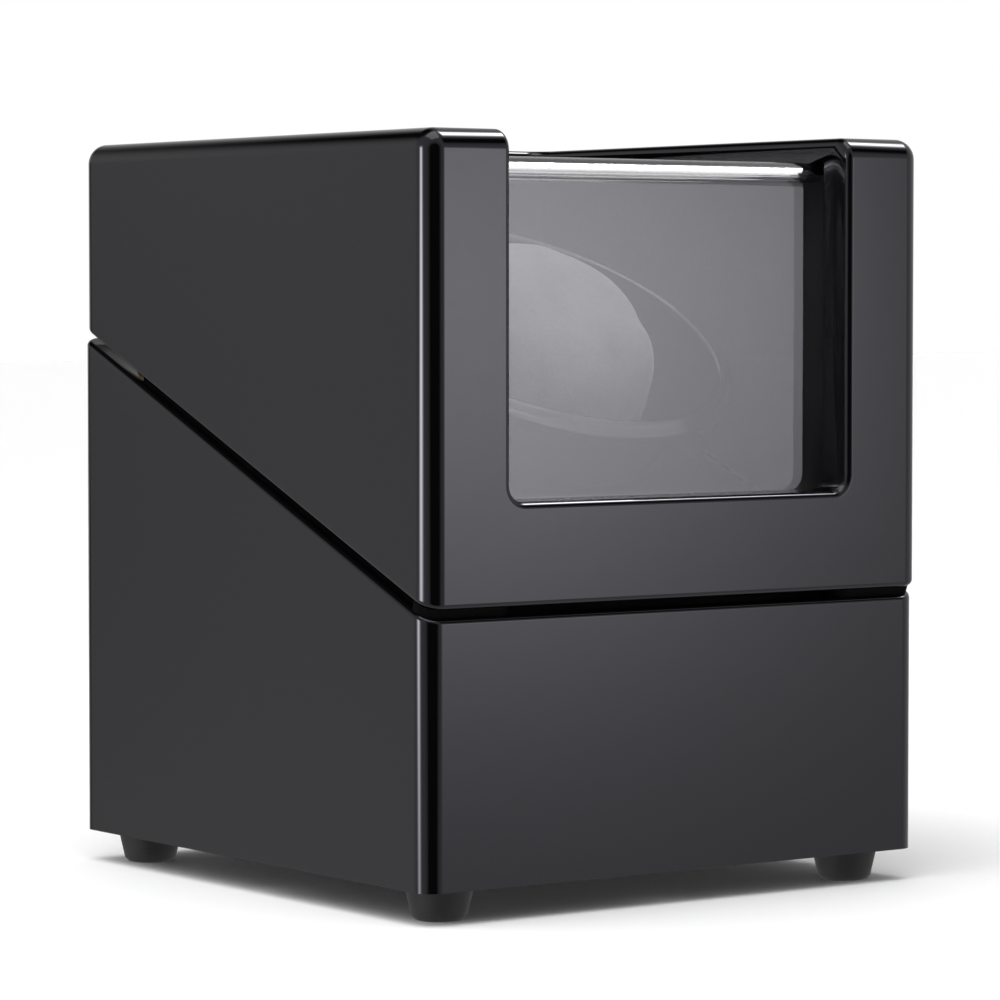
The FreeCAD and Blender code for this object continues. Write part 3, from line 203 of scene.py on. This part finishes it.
def screw_tree():
    """One cross recess screw, set on every point along the direction stored there as outward."""
    tree = bpy.data.node_groups.new("cross_recess_screws", "GeometryNodeTree")
    tree.interface.new_socket("Screws", in_out="OUTPUT", socket_type="NodeSocketGeometry")
    tree.interface.new_socket("Points", in_out="INPUT", socket_type="NodeSocketGeometry")
    for name in ("Head Radius", "Seat Radius", "Head Depth", "Shank Radius", "Shank Length",
                 "Recess Width"):
        tree.interface.new_socket(name, in_out="INPUT", socket_type="NodeSocketFloat")
    tree.interface.new_socket("Metal", in_out="INPUT", socket_type="NodeSocketMaterial")
    given = add(tree, "NodeGroupInput").outputs
    sunk = add(tree, "ShaderNodeMath", {0: given["Head Depth"]}, {1: -1.0}, operation="MULTIPLY")
    middle = add(tree, "ShaderNodeMath", {0: given["Shank Length"], 2: sunk.outputs[0]}, {1: -0.5},
                 operation="MULTIPLY_ADD")
    down = add(tree, "ShaderNodeCombineXYZ", {"Z": sunk.outputs[0]})
    centre = add(tree, "ShaderNodeCombineXYZ", {"Z": middle.outputs[0]})
    cone = add(tree, "GeometryNodeMeshCone", {"Radius Top": given["Head Radius"],
                                              "Radius Bottom": given["Seat Radius"],
                                              "Depth": given["Head Depth"]}, {"Vertices": HEAD_SIDES})
    head = add(tree, "GeometryNodeTransform", {"Geometry": cone.outputs["Mesh"],
                                               "Translation": down.outputs[0]})
    rod = add(tree, "GeometryNodeMeshCylinder", {"Radius": given["Shank Radius"],
                                                 "Depth": given["Shank Length"]}, {"Vertices": SHANK_SIDES})
    shank = add(tree, "GeometryNodeTransform", {"Geometry": rod.outputs["Mesh"],
                                                "Translation": centre.outputs[0]})
    long = add(tree, "ShaderNodeMath", {0: given["Head Radius"]}, {1: RECESS_REACH}, operation="MULTIPLY")
    deep = add(tree, "ShaderNodeMath", {0: given["Head Depth"]}, {1: RECESS_DEPTH}, operation="MULTIPLY")
    along = add(tree, "ShaderNodeCombineXYZ", {"X": long.outputs[0], "Y": given["Recess Width"],
                                               "Z": deep.outputs[0]})
    across = add(tree, "ShaderNodeCombineXYZ", {"X": given["Recess Width"], "Y": long.outputs[0],
                                                "Z": deep.outputs[0]})
    bar = add(tree, "GeometryNodeMeshCube", {"Size": along.outputs[0]})
    cross_bar = add(tree, "GeometryNodeMeshCube", {"Size": across.outputs[0]})
    cut = add(tree, "GeometryNodeMeshBoolean", {"Mesh 1": head.outputs[0], "Mesh 2": bar.outputs["Mesh"]},
              operation="DIFFERENCE")
    tree.links.new(cross_bar.outputs["Mesh"], cut.inputs["Mesh 2"])
    screw = add(tree, "GeometryNodeJoinGeometry", {"Geometry": cut.outputs["Mesh"]})
    tree.links.new(shank.outputs[0], screw.inputs["Geometry"])
    outward = add(tree, "GeometryNodeInputNamedAttribute", values={"Name": "outward"},
                  data_type="FLOAT_VECTOR")
    turn = add(tree, "FunctionNodeAlignRotationToVector", {"Vector": outward.outputs["Attribute"]},
               axis="Z")
    spread = add(tree, "GeometryNodeInstanceOnPoints", {"Points": given["Points"],
                                                        "Instance": screw.outputs[0],
                                                        "Rotation": turn.outputs[0]})
    real = add(tree, "GeometryNodeRealizeInstances", {"Geometry": spread.outputs[0]})
    metal = add(tree, "GeometryNodeSetMaterial", {"Geometry": real.outputs[0], "Material": given["Metal"]})
    add(tree, "NodeGroupOutput", {"Screws": metal.outputs[0]})
    return tree


def grown(piece, tree, inputs):
    """The plain mesh that a tree makes on a piece, with the tree's inputs set by their identifiers."""
    growth = piece.modifiers.new("growth", "NODES")
    growth.node_group = tree
    for socket in tree.interface.items_tree:
        if socket.in_out == "INPUT" and socket.name in inputs:
            growth[socket.identifier] = inputs[socket.name]
    mesh = bpy.data.meshes.new_from_object(piece.evaluated_get(bpy.context.evaluated_depsgraph_get()))
    piece.modifiers.clear()
    return mesh


screws_on_points = screw_tree()


def screws(node, material):
    """Screws in the places and sizes of the node's solids, read off their flat head faces."""
    solids = bmesh.new()
    solids.from_mesh(frame["nodes"][node].data)
    bmesh.ops.remove_doubles(solids, verts=solids.verts, dist=MERGE_DISTANCE)
    bmesh.ops.dissolve_limit(solids, angle_limit=math.radians(FLAT_WITHIN), verts=solids.verts,
                             edges=solids.edges)
    widest = max(face.calc_area() for face in solids.faces)
    heads = [face for face in solids.faces if face.calc_area() > HEAD_AREA_SHARE * widest]
    middle, outward = heads[0].calc_center_bounds(), heads[0].normal.copy()
    head_radius = max((v.co - middle).length for v in heads[0].verts)
    steps = []
    for corner in solids.verts:
        depth = (middle - corner.co).dot(outward)
        radius = (corner.co - middle + depth * outward).length
        if radius < HEAD_EDGE_MARGIN * head_radius:
            steps.append((round(depth, 6), radius))
    length = max(depth for depth, radius in steps)
    seat = min(depth for depth, radius in steps if depth > HEAD_FACE_DEPTH)
    seat_radius = max(radius for depth, radius in steps if depth == seat)
    shank_radius = max(radius for depth, radius in steps if depth == length)
    crown = PAN_CROWN if seat_radius > PAN_SEAT_SHARE * head_radius else 1.0

    points = bpy.data.meshes.new(node + "_points")
    points.from_pydata([face.calc_center_bounds() for face in heads], [], [])
    facing = points.attributes.new("outward", "FLOAT_VECTOR", "POINT")
    for place, face in zip(facing.data, heads):
        place.vector = face.normal
    solids.free()
    piece = new_piece(node + "_set", points, material)
    piece.data = grown(piece, screws_on_points, {
        "Head Radius": crown * head_radius, "Seat Radius": seat_radius, "Head Depth": seat,
        "Shank Radius": shank_radius, "Shank Length": length - seat,
        "Recess Width": RECESS_WIDTH * head_radius, "Metal": material})
    piece.data.shade_smooth()
    piece.data.set_sharp_from_angle(angle=math.radians(HEAD_CREASE))
    stand_for(piece, node)


for node in ("bottom_screws", "foot_screws", "deck_screws", "cup_screw", "housing_screws", "chassis_screws",
             "motor_screws", "control_plate_screws", "board_screws"):
    screws(node, zinc)

# Rubber feet
# Tapered feet moulded in black rubber, dull with a fine grit.
# Each is held by a pan head screw in its hollow underside.
RUBBER_GRIT = 0.5
foot_rubber, tree, shader, mm = finish_named("moulded_rubber", "#161616", Roughness=0.62)
grit = add(tree, "ShaderNodeTexNoise", {"Vector": mm}, {"Scale": 1.0 / RUBBER_GRIT, "Detail": 4.0})
vary(tree, shader, grit.outputs["Fac"], tones=("#121212", "#1D1D1D"), relief=0.03)
polished("rubber_feet", foot_rubber)

# Lid bumpers
# Two strips of black closed cell foam, stuck on the base's front corners so that the lid closes softly.
# The cut cells swallow nearly all shine.
FOAM_CELL = 0.3
foam, tree, shader, mm = finish_named("closed_cell_foam", "#070707", Roughness=1.0, Specular_IOR_Level=0.08)
cells = add(tree, "ShaderNodeTexVoronoi", {"Vector": mm}, {"Scale": 1.0 / FOAM_CELL})
vary(tree, shader, cells.outputs["Distance"], tones=("#040404", "#0B0B0B"), relief=0.05)
dress(foam, "lid_bumpers")

# Sloping deck
# The fibreboard deck carries the drive below it and is faced with black flocked velvet, glued on.
# The flock is soft and dull, with a faint lift at its edges. It is drawn coarser than it is, to show.
PILE = 0.45
PILE_DRIFT = 14.0
velvet, tree, shader, mm = finish_named("flocked_velvet", "#2A2A2D", Roughness=0.95, Sheen_Weight=0.12,
                                        Sheen_Roughness=0.5)
pile = add(tree, "ShaderNodeTexNoise", {"Vector": mm}, {"Scale": 1.0 / PILE, "Detail": 2.0})
drift = add(tree, "ShaderNodeTexNoise", {"Vector": mm}, {"Scale": 1.0 / PILE_DRIFT, "Detail": 2.0})
tone = add(tree, "ShaderNodeMix", {"A": pile.outputs["Fac"], "B": drift.outputs["Fac"]}, {"Factor": 0.5})
vary(tree, shader, tone.outputs["Result"], tones=("#252527", "#323235"))
vary(tree, shader, pile.outputs["Fac"], relief=0.025)
dress(velvet, "deck_lining", "lid_side_linings", "lid_rear_lining", "cup_pad", "seam_lip")

# Chassis and motor
# Zinc coated sheet steel plate, turned standoffs and the drawn steel cans of the gear motor, all screwed.
# The coating shows as grey spangles that differ in tone and gloss.
SPANGLE = 3.0
coated, tree, shader, mm = finish_named("zinc_coated_sheet", "#A9ABAC", Metallic=1.0, Roughness=0.4)
spangle = add(tree, "ShaderNodeTexVoronoi", {"Vector": mm}, {"Scale": 1.0 / SPANGLE})
vary(tree, shader, spangle.outputs["Color"], tones=("#979A9C", "#B9BBBC"), gloss=(0.32, 0.5))
dress(coated, "chassis_plate", "chassis_standoffs", "gearbox_case", "motor_can")

# Ground steel rod: bright, with fine marks left by centreless grinding that change its gloss.
GRINDING_MARK = 0.3
ground, tree, shader, mm = finish_named("ground_steel", "#BDBEC0", Metallic=1.0, Roughness=0.22)
marks = add(tree, "ShaderNodeTexNoise", {"Vector": mm}, {"Scale": 1.0 / GRINDING_MARK, "Detail": 2.0})
vary(tree, shader, marks.outputs["Fac"], gloss=(0.16, 0.32))
dress(ground, "spindle", "spindle_clip", "motor_shaft", "hinge_pins", "dc_socket_pin")

# Natural nylon: milky white and satin from the mould, with faint flow clouds.
FLOW_CLOUD = 6.0
nylon, tree, shader, mm = finish_named("natural_nylon", "#DCDAD2", Roughness=0.5)
flow = add(tree, "ShaderNodeTexNoise", {"Vector": mm}, {"Scale": 1.0 / FLOW_CLOUD, "Detail": 2.0})
vary(tree, shader, flow.outputs["Fac"], tones=("#D3D0C6", "#E4E2DC"))
dress(nylon, "drum_pulley", "motor_pulley", "thrust_washer", "board_spacers")

# Sintered bronze: porous, oil-dark between the grains.
BRONZE_GRAIN = 0.25
bronze, tree, shader, mm = finish_named("sintered_bronze", "#9A7243", Metallic=1.0, Roughness=0.5)
pores = add(tree, "ShaderNodeTexNoise", {"Vector": mm}, {"Scale": 1.0 / BRONZE_GRAIN, "Detail": 3.0})
vary(tree, shader, pores.outputs["Fac"], tones=("#6E4F2C", "#A97F4D"))
dress(bronze, "upper_bush", "lower_bush")

# Drive belt: extruded round rubber cord, welded into a loop, dull with a pale bloom.
RUBBER_BLOOM = 1.5
belt_rubber, tree, shader, mm = finish_named("belt_rubber", "#1A1A1B", Roughness=0.7)
bloom = add(tree, "ShaderNodeTexNoise", {"Vector": mm}, {"Scale": 1.0 / RUBBER_BLOOM, "Detail": 3.0})
vary(tree, shader, bloom.outputs["Fac"], tones=("#151516", "#232324"))
dress(belt_rubber, "drive_belt")

# Rear controls
# Black moulded plate behind a recess of the rear wall, with a mode knob, a low voltage inlet and a lamp.
# The mould was spark eroded, which leaves an even, fine texture on the plastic.
EROSION_PIT = 0.35
moulded, tree, shader, mm = finish_named("spark_eroded_abs", "#1B1C1E", Roughness=0.5)
erosion = add(tree, "ShaderNodeTexNoise", {"Vector": mm}, {"Scale": 1.0 / EROSION_PIT, "Detail": 3.0})
vary(tree, shader, erosion.outputs["Fac"], gloss=(0.42, 0.6), relief=0.03)
dress(moulded, "bearing_housing", "motor_end_cap", "control_plate", "mode_switch", "dc_socket",
      "board_components")
polished("mode_knob", moulded)

# Control board: glass fibre sheet under a deep green solder mask, in which the copper tracks show paler.
TRACK_SCALE = 0.25
TRACK_WIDTH = 0.03
MASK_GREEN = "#164A30"
solder_mask, tree, shader, mm = finish_named("green_solder_mask", MASK_GREEN, Roughness=0.35)
tracks = add(tree, "ShaderNodeTexBrick", {"Vector": mm},
             {"Scale": TRACK_SCALE, "Mortar Size": TRACK_WIDTH, "Color1": linear(MASK_GREEN),
              "Color2": linear("#184E33"), "Mortar": linear("#2A6A48")})
tree.links.new(tracks.outputs["Color"], shader.inputs["Base Color"])
dress(solder_mask, "control_board")

# Lamp: clear plastic lens, tinted green, with a slight haze.
LENS_HAZE = 0.8
lens, tree, shader, mm = finish_named("tinted_lens", "#5FBF6C", Roughness=0.12, Transmission_Weight=0.6)
haze = add(tree, "ShaderNodeTexNoise", {"Vector": mm}, {"Scale": 1.0 / LENS_HAZE, "Detail": 2.0})
vary(tree, shader, haze.outputs["Fac"], gloss=(0.08, 0.2))
dress(lens, "status_lamp")

# Turning cup
# Gloss black injection moulded cup, screwed to the spindle, with a stepped rim ring snapped over its lip.
# The polished mould gives a mirror finish, which handling smears a little.
SMEAR = 5.0
RIM_ROUNDED_BELOW = 50.0
gloss_abs, tree, shader, mm = finish_named("gloss_black_abs", "#0A0A0B", Roughness=0.08, IOR=1.53)
smear = add(tree, "ShaderNodeTexNoise", {"Vector": mm}, {"Scale": 1.0 / SMEAR, "Detail": 3.0})
vary(tree, shader, smear.outputs["Fac"], gloss=(0.05, 0.13))
polished("drum_cup", gloss_abs)
polished("cup_rim", gloss_abs, RIM_ROUNDED_BELOW)

# Watch pillow
# Foam block wrapped in grey microsuede, pressed into the closed band of a watch and dropped into the cup.
# The nap is soft and dull and lies in brushed drifts. It is drawn coarser than it is, so that it shows.
NAP = 0.5
NAP_DRIFT = 9.0
PILLOW_GRID = 0.0015
SEAM_WIDTH = 0.0014
END_WITHIN = 1e-5
CLOTH_SCALE = 50.0
CLOTH_FRAMES = 30
suede, tree, shader, mm = finish_named("grey_microsuede", "#747478", Roughness=0.9, Sheen_Weight=0.35)
nap = add(tree, "ShaderNodeTexNoise", {"Vector": mm}, {"Scale": 1.0 / NAP, "Detail": 3.0})
brushing = add(tree, "ShaderNodeTexNoise", {"Vector": mm}, {"Scale": 1.0 / NAP_DRIFT, "Detail": 3.0})
tone = add(tree, "ShaderNodeMix", {"A": nap.outputs["Fac"], "B": brushing.outputs["Fac"]}, {"Factor": 0.55})
vary(tree, shader, tone.outputs["Result"], tones=("#68686C", "#828286"))
vary(tree, shader, nap.outputs["Fac"], relief=0.06)
block = frame["nodes"]["watch_pillow"].data.copy()
end = max(v.co.x for v in block.vertices)
seam_line = KDTree(len(block.vertices))
for corner in block.vertices:
    if abs(corner.co.x) > end - END_WITHIN:
        seam_line.insert(corner.co, corner.index)
seam_line.balance()
pillow = new_piece("watch_pillow_cover", block, suede)
weave = pillow.modifiers.new("weave", "REMESH")
weave.mode = "VOXEL"
weave.voxel_size = PILLOW_GRID
cover = bpy.data.meshes.new_from_object(pillow.evaluated_get(bpy.context.evaluated_depsgraph_get()))
pillow.modifiers.clear()
pillow.data = cover

# The cover is held along the seams of its two end panels, cut a little large and filled out by the foam.
# Cloth moves too stiffly at a few centimetres, so it is draped at a larger scale and brought back.
held = pillow.vertex_groups.new(name="seams")
held.add([v.index for v in cover.vertices if seam_line.find(v.co)[2] < SEAM_WIDTH], 1.0, "REPLACE")
cover.transform(Matrix.Scale(CLOTH_SCALE, 4))
drape = pillow.modifiers.new("cloth", "CLOTH")
drape.settings.quality = 6
drape.settings.mass = 0.2
drape.settings.tension_stiffness = 40.0
drape.settings.compression_stiffness = 40.0
drape.settings.bending_stiffness = 1.2
drape.settings.shrink_min = -0.012
drape.settings.use_pressure = True
drape.settings.uniform_pressure_force = 0.9
drape.settings.vertex_group_mass = "seams"
drape.settings.effector_weights.gravity = 0.0
drape.point_cache.frame_end = CLOTH_FRAMES
for moment in range(1, CLOTH_FRAMES + 1):
    bpy.context.scene.frame_set(moment)
soft = bpy.data.meshes.new_from_object(pillow.evaluated_get(bpy.context.evaluated_depsgraph_get()))
pillow.modifiers.clear()
pillow.vertex_groups.clear()
bpy.context.scene.frame_set(1)
soft.transform(Matrix.Scale(1.0 / CLOTH_SCALE, 4))
soft.name = "watch_pillow_cover"
soft.materials.clear()
soft.materials.append(suede)
pillow.data = soft

# The two end panels are sewn in with a thin piping, which follows the edges of the solid's ends.
PIPING_RADIUS = 0.0006
PIPING_STEP = 0.0008
PIPING_SIDES = 12
PANEL_CREASE = 20.0


def piping_tree():
    """A round cord laid along the edges of a mesh."""
    tree = bpy.data.node_groups.new("seam_piping", "GeometryNodeTree")
    tree.interface.new_socket("Piping", in_out="OUTPUT", socket_type="NodeSocketGeometry")
    tree.interface.new_socket("Seam", in_out="INPUT", socket_type="NodeSocketGeometry")
    tree.interface.new_socket("Cord Radius", in_out="INPUT", socket_type="NodeSocketFloat")
    tree.interface.new_socket("Step", in_out="INPUT", socket_type="NodeSocketFloat")
    tree.interface.new_socket("Cloth", in_out="INPUT", socket_type="NodeSocketMaterial")
    given = add(tree, "NodeGroupInput").outputs
    line = add(tree, "GeometryNodeMeshToCurve", {"Mesh": given["Seam"]})
    even = add(tree, "GeometryNodeResampleCurve", {"Curve": line.outputs[0], "Length": given["Step"]},
               mode="LENGTH")
    ring = add(tree, "GeometryNodeCurvePrimitiveCircle", {"Radius": given["Cord Radius"]},
               {"Resolution": PIPING_SIDES})
    cord = add(tree, "GeometryNodeCurveToMesh", {"Curve": even.outputs[0],
                                                 "Profile Curve": ring.outputs["Curve"]})
    real = add(tree, "GeometryNodeRealizeInstances", {"Geometry": cord.outputs[0]})
    dyed = add(tree, "GeometryNodeSetMaterial", {"Geometry": real.outputs[0], "Material": given["Cloth"]})
    add(tree, "NodeGroupOutput", {"Piping": dyed.outputs[0]})
    return tree


ends = bmesh.new()
ends.from_mesh(block)
bmesh.ops.remove_doubles(ends, verts=ends.verts, dist=MERGE_DISTANCE)
panel_edges = [e for e in ends.edges if all(abs(v.co.x) > end - END_WITHIN for v in e.verts)
               and e.calc_face_angle(0.0) > math.radians(PANEL_CREASE)]
bmesh.ops.delete(ends, geom=list(set(ends.edges) - set(panel_edges)), context="EDGES_FACES")
seam_mesh = bpy.data.meshes.new("pillow_seam")
ends.to_mesh(seam_mesh)
ends.free()
piping = new_piece("pillow_piping", seam_mesh, suede)
sewn = grown(piping, piping_tree(), {"Cord Radius": PIPING_RADIUS, "Step": PIPING_STEP, "Cloth": suede})
bpy.data.objects.remove(piping)
whole = bmesh.new()
whole.from_mesh(soft)
whole.from_mesh(sewn)
whole.to_mesh(soft)
whole.free()
soft.shade_smooth()
stand_for(pillow, "watch_pillow")

# Lid
# Wedge-shaped upper box of fibreboard panels in the same lacquer as the base, hung on two hinges.
# Its front and top are cut away in one opening with eased edges.
polished("lid_case", lacquer)

# Window
# One sheet of clear cast acrylic, line-bent along its top front edge and glued behind the opening.
# Its hard coat makes both faces mirror the softbox, which veils the dark inside.
WIPE_MARK = 20.0
acrylic, tree, shader, mm = finish_named("cast_acrylic", "#F8F8FA", Roughness=0.0, IOR=1.49,
                                         Transmission_Weight=1.0, Specular_Tint=linear(LACQUER_SHINE),
                                         Coat_Weight=0.4, Coat_IOR=1.6)
wipe = add(tree, "ShaderNodeTexNoise", {"Vector": mm}, {"Scale": 1.0 / WIPE_MARK, "Detail": 3.0})
vary(tree, shader, wipe.outputs["Fac"], gloss=(0.0, 0.02))
polished("window_pane", acrylic)

# Hinges
# Pressed butt hinges in the rear seam, their leaves screwed to the edges of base and lid.
# Polished brass: warm and bright, clouded by a little tarnish.
TARNISH = 4.0
brass, tree, shader, mm = finish_named("polished_brass", "#C8A25C", Metallic=1.0, Roughness=0.24)
tarnish = add(tree, "ShaderNodeTexNoise", {"Vector": mm}, {"Scale": 1.0 / TARNISH, "Detail": 3.0})
vary(tree, shader, tarnish.outputs["Fac"], tones=("#BB9A5C", "#C9A96B"), gloss=(0.2, 0.3))
screws("hinge_screws_base", brass)
screws("hinge_screws_lid", brass)
polished("hinge_leaves_base", brass)
polished("hinge_leaves_lid", brass)

# Studio
# Pale sweep, white surroundings, one soft lamp overhead and the camera at the front left.
# The sweep isn't mirrored, so that the lacquer shows the surroundings alone.
FLOOR_HALF = 6.0
floor_mesh = bpy.data.meshes.new("studio_floor")
floor_mesh.from_pydata([(-FLOOR_HALF, -FLOOR_HALF, 0), (FLOOR_HALF, -FLOOR_HALF, 0),
                        (FLOOR_HALF, FLOOR_HALF, 0), (-FLOOR_HALF, FLOOR_HALF, 0)], [], [(0, 1, 2, 3)])
sweep = finish_named("studio_sweep", "#FDFDFD", Roughness=0.6, Specular_IOR_Level=0.1)[0]
floor = new_piece("studio_floor", floor_mesh, sweep)
floor.visible_glossy = False

# Soft patches of light and shade in the surroundings: direction, width in degrees, brightness added.
# The sky patch lights dull surfaces, and the others are what the lacquer and the pane mirror.
SURROUND = 0.66
SOFTBOX = (0.571, -0.822, 0.003), 5.0, 3.0
STRIP = (0.58, 0.0, 0.81), 8.0, 26.0
EDGE = (-0.985, 0.17, 0.0), 8.0, 15.0
DARK_SIDE = (-0.4, -0.92, 0.0), 25.0, -1.6
CEILING = (-0.1, 0.6, 0.79), 25.0, -1.2
GAP = (0.58, -0.56, 0.6), 13.0, -0.9
REAR = (-0.342, 0.94, -0.05), 9.0, -0.75
SKY_BASE = 0.28
SKY = (-0.4, 0.0, 0.92), 34.0, 2.9
world = bpy.data.worlds.new("studio")
bpy.context.scene.world = world
world.use_nodes = True
tree = world.node_tree
background = tree.nodes["Background"]
background.inputs["Color"].default_value = linear("#FFFFFF")
look = add(tree, "ShaderNodeTexCoord").outputs["Generated"]


def patch(direction, width, height):
    """A soft round patch of brightness in one direction of the surroundings."""
    near = add(tree, "ShaderNodeVectorMath", {0: look}, {1: Vector(direction).normalized()},
               operation="DOT_PRODUCT")
    away = add(tree, "ShaderNodeMath", {1: near.outputs["Value"]}, {0: 1.0}, operation="SUBTRACT")
    fall = add(tree, "ShaderNodeMath", {0: away.outputs[0]}, {1: -2.0 / math.radians(width) ** 2},
               operation="MULTIPLY")
    bell = add(tree, "ShaderNodeMath", {0: fall.outputs[0]}, operation="EXPONENT")
    return add(tree, "ShaderNodeMath", {0: bell.outputs[0]}, {1: height}, operation="MULTIPLY").outputs[0]


level = add(tree, "ShaderNodeValue").outputs[0]
level.default_value = SURROUND
for direction, width, height in (SOFTBOX, STRIP, EDGE, DARK_SIDE, CEILING, GAP, REAR):
    spot = patch(direction, width, height)
    level = add(tree, "ShaderNodeMath", {0: level, 1: spot}, operation="ADD").outputs[0]
mirrored = add(tree, "ShaderNodeMath", {0: level}, {1: 0.0}, operation="MAXIMUM")
path = add(tree, "ShaderNodeLightPath")
seen = add(tree, "ShaderNodeMath", {0: path.outputs["Is Camera Ray"],
                                    1: path.outputs["Is Transmission Ray"]}, operation="MAXIMUM")
sky = add(tree, "ShaderNodeMath", {0: patch(*SKY)}, {1: SKY_BASE}, operation="ADD")
lit = add(tree, "ShaderNodeMix", {"Factor": path.outputs["Is Glossy Ray"], "A": sky.outputs[0],
                                  "B": mirrored.outputs[0]})
shown = add(tree, "ShaderNodeMix", {"Factor": seen.outputs[0], "A": lit.outputs["Result"]}, {"B": 1.0})
tree.links.new(shown.outputs["Result"], background.inputs["Strength"])

LAMP_POWER = 6.0
LAMP_SIZE = 1.0
LAMP_PLACE = (-0.25, -0.35, 1.3)
lamp = bpy.data.lights.new("overhead_box", "AREA")
lamp.energy = LAMP_POWER
lamp.size = LAMP_SIZE
lamp_object = bpy.data.objects.new("overhead_box", lamp)
lamp_object.location = LAMP_PLACE
bpy.context.scene.collection.objects.link(lamp_object)

CAMERA_LENS = 156.56
CAMERA_SENSOR = 36.0
CAMERA_PLACE = (-0.51465, -0.72211, 0.11739)
CAMERA_AIM = (0.58128, 0.81234, -0.04703)
camera = bpy.data.cameras.new("camera")
camera.lens = CAMERA_LENS
camera.sensor_width = CAMERA_SENSOR
camera_object = bpy.data.objects.new("camera", camera)
camera_object.location = CAMERA_PLACE
camera_object.rotation_euler = Vector(CAMERA_AIM).to_track_quat("-Z", "Y").to_euler()
bpy.context.scene.collection.objects.link(camera_object)
bpy.context.scene.camera = camera_object
bpy.context.scene.view_settings.view_transform = "Standard"
